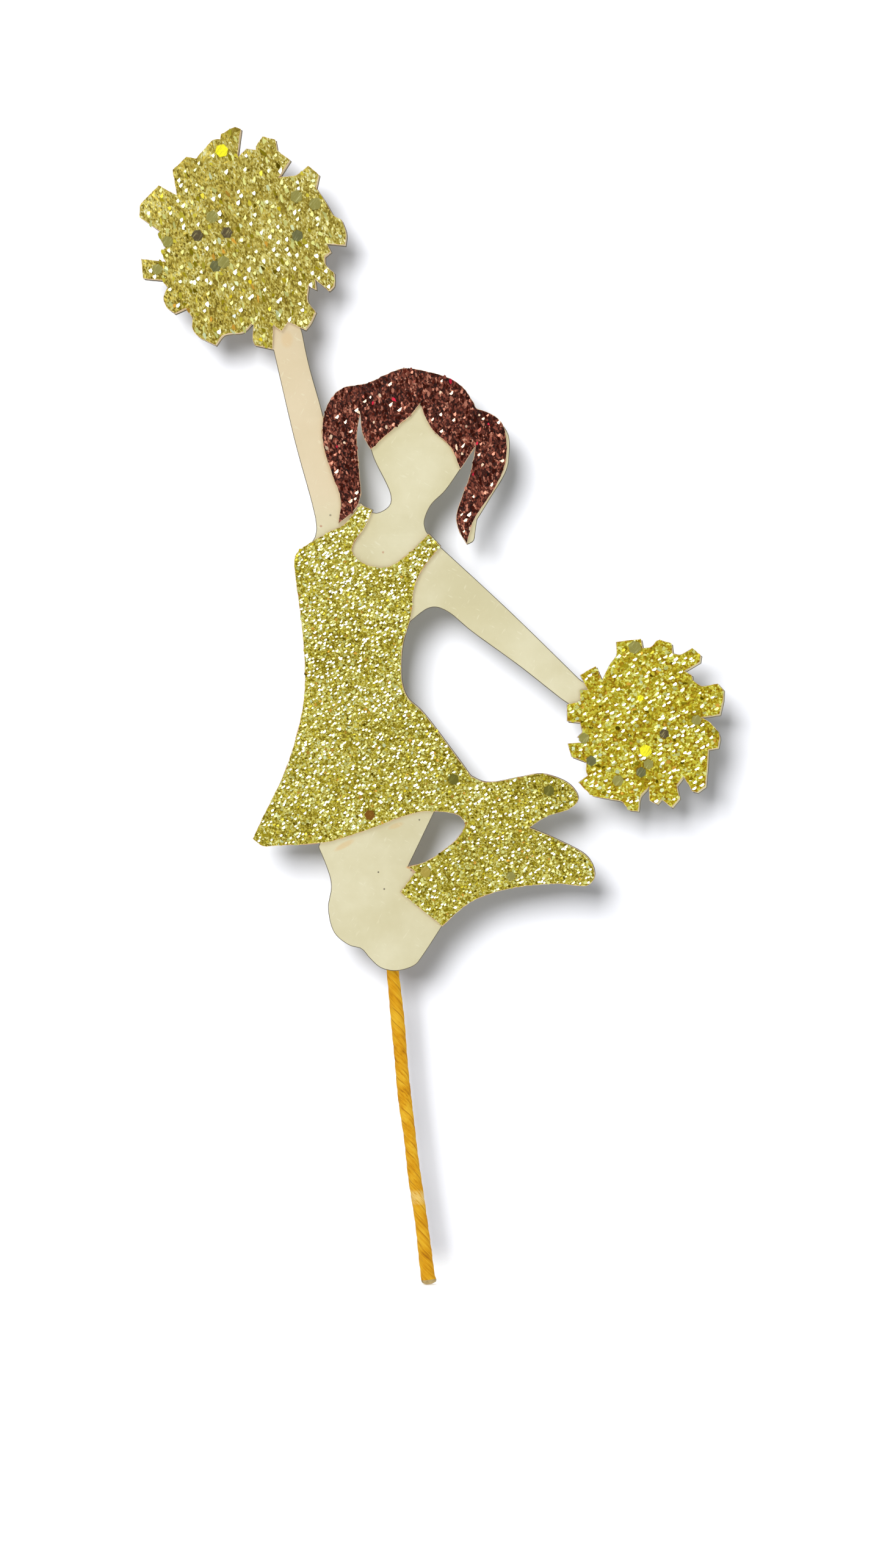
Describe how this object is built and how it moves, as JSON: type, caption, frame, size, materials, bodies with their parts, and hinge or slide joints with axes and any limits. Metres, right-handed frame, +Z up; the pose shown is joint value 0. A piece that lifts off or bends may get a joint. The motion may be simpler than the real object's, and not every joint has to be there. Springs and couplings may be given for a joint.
{
  "type": "cheerleader cake topper",
  "caption": "Flat card cheerleader figure with glitter card dress, hair and pom poms, glued to a twisted paper stick that pushes into a cake.",
  "frame": {"origin": "centre of the lower end of the stick, where it is pushed into a cake", "axes": "+Z up along the figure, +X to the figure's right as seen from the front, -Y out of the glitter front"},
  "size_m": [0.1037, 0.0044, 0.2053],
  "materials": {
    "ivory_board": "uncoated ivory board, faintly mottled",
    "gold_glitter": "coarse gold glitter on card",
    "brown_glitter": "dark brown glitter with copper flakes on card",
    "adhesive": "dried craft adhesive",
    "twisted_paper": "twisted and rolled orange yellow paper",
    "hot_glue": "cloudy set hot glue"
  },
  "bodies": {
    "root": {"base_silhouette": "ivory_board", "dress_and_boots": "gold_glitter", "hair": "brown_glitter", "pom_pom_upper": "gold_glitter", "pom_pom_lower": "gold_glitter", "adhesive_dress": "adhesive", "adhesive_hair": "adhesive", "adhesive_pom_upper": "adhesive", "adhesive_pom_lower": "adhesive", "paper_stick": "twisted_paper", "hot_glue_lower": "hot_glue", "hot_glue_upper": "hot_glue"}
  },
  "joints": []
}
